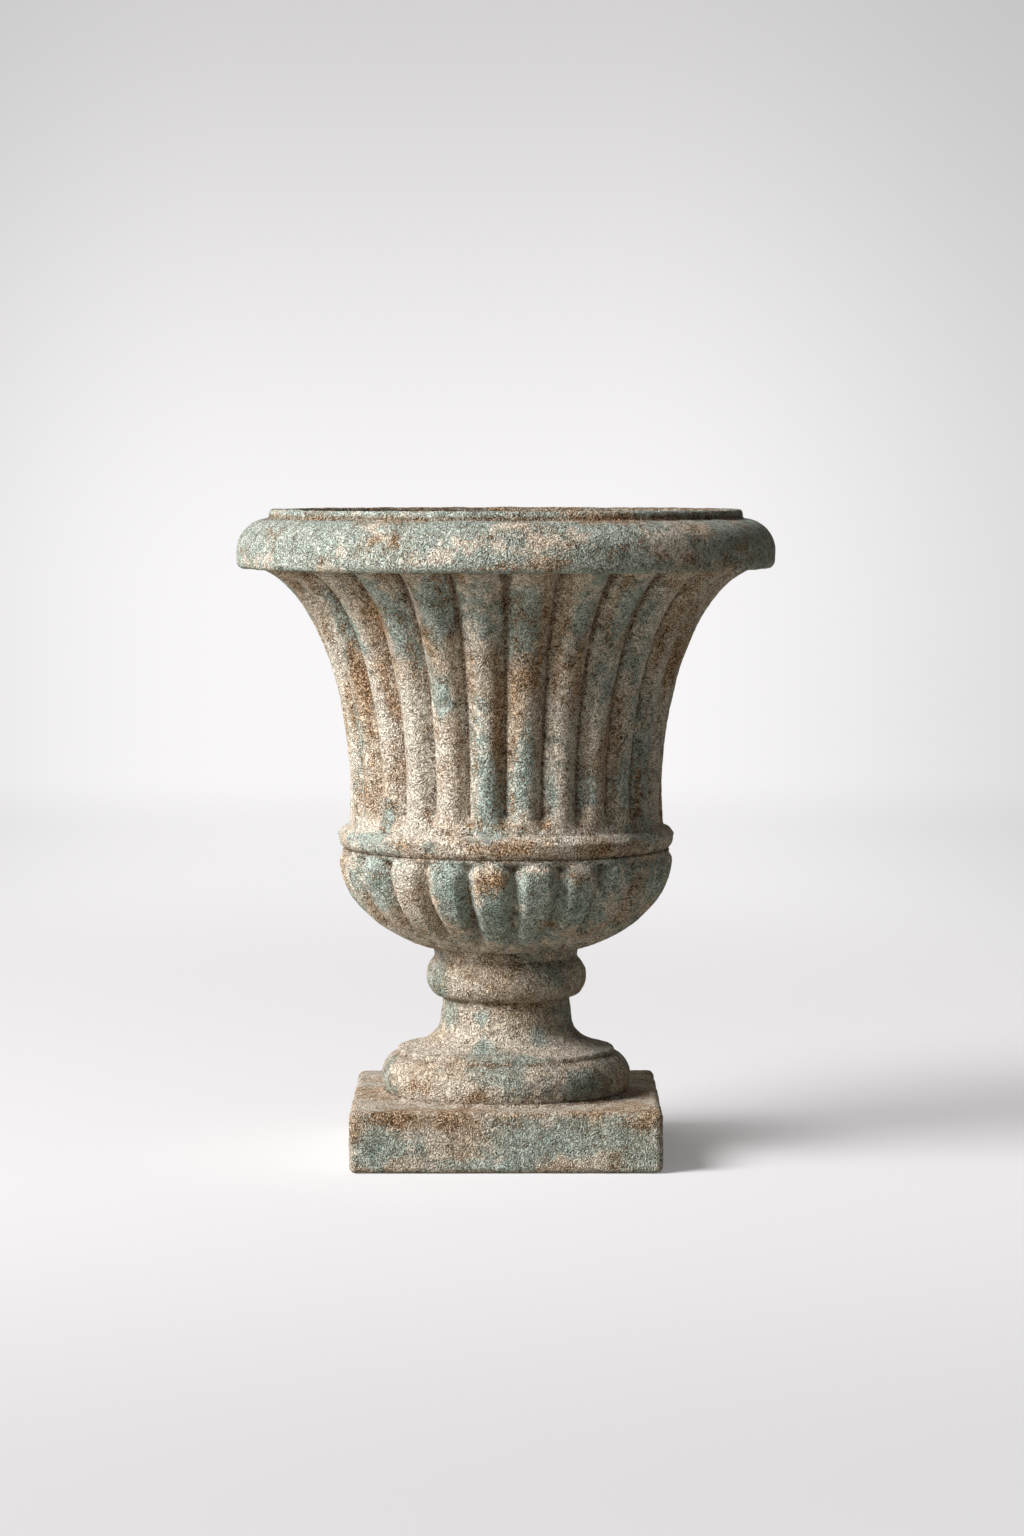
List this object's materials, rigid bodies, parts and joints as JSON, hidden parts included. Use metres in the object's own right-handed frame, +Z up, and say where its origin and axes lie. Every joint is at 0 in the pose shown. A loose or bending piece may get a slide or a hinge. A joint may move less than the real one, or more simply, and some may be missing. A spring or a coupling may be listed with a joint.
{
  "type": "fluted garden pot",
  "caption": "Campana-shaped garden urn in weathered cast iron: rolled rim, flared fluted bell, gadrooned bowl and turned stem on a hollow square plinth, bolted together from inside.",
  "frame": {"origin": "centre of the plinth's underside, on the ground", "axes": "+Z up along the pot's axis, -Y towards the front seen in the picture, +X to the right of that view"},
  "size_m": [0.4, 0.4, 0.4803],
  "materials": {
    "weathered_lime": "coarse sand-cast iron under worn beige limewash, with green and rust showing through, matte",
    "weathered_green": "coarse sand-cast iron under worn blue-green paint, with limewash and rust showing through, matte",
    "rusty_steel": "plain steel fasteners gone brown with rust, matte"
  },
  "bodies": {
    "root": {"plinth": "weathered_lime", "stem": "weathered_lime", "gadrooned_bowl": "weathered_green", "fluted_bell": "weathered_lime", "rim_ring": "weathered_green", "tie_rod": "rusty_steel", "rod_top_nut": "rusty_steel", "rod_top_washer": "rusty_steel", "clamp_bar": "rusty_steel", "rod_bottom_nut": "rusty_steel", "rod_bottom_washer": "rusty_steel", "bell_bolt_1": "rusty_steel", "bell_bolt_2": "rusty_steel", "bell_bolt_3": "rusty_steel", "bell_bolt_4": "rusty_steel", "bell_bolt_5": "rusty_steel", "bell_bolt_6": "rusty_steel", "bell_nut_1": "rusty_steel", "bell_nut_2": "rusty_steel", "bell_nut_3": "rusty_steel", "bell_nut_4": "rusty_steel", "bell_nut_5": "rusty_steel", "bell_nut_6": "rusty_steel", "bell_washer_1": "rusty_steel", "bell_washer_2": "rusty_steel", "bell_washer_3": "rusty_steel", "bell_washer_4": "rusty_steel", "bell_washer_5": "rusty_steel", "bell_washer_6": "rusty_steel", "rim_screw_1": "rusty_steel", "rim_screw_2": "rusty_steel", "rim_screw_3": "rusty_steel", "rim_screw_4": "rusty_steel", "rim_screw_5": "rusty_steel", "rim_screw_6": "rusty_steel", "rim_washer_1": "rusty_steel", "rim_washer_2": "rusty_steel", "rim_washer_3": "rusty_steel", "rim_washer_4": "rusty_steel", "rim_washer_5": "rusty_steel", "rim_washer_6": "rusty_steel"}
  },
  "joints": []
}
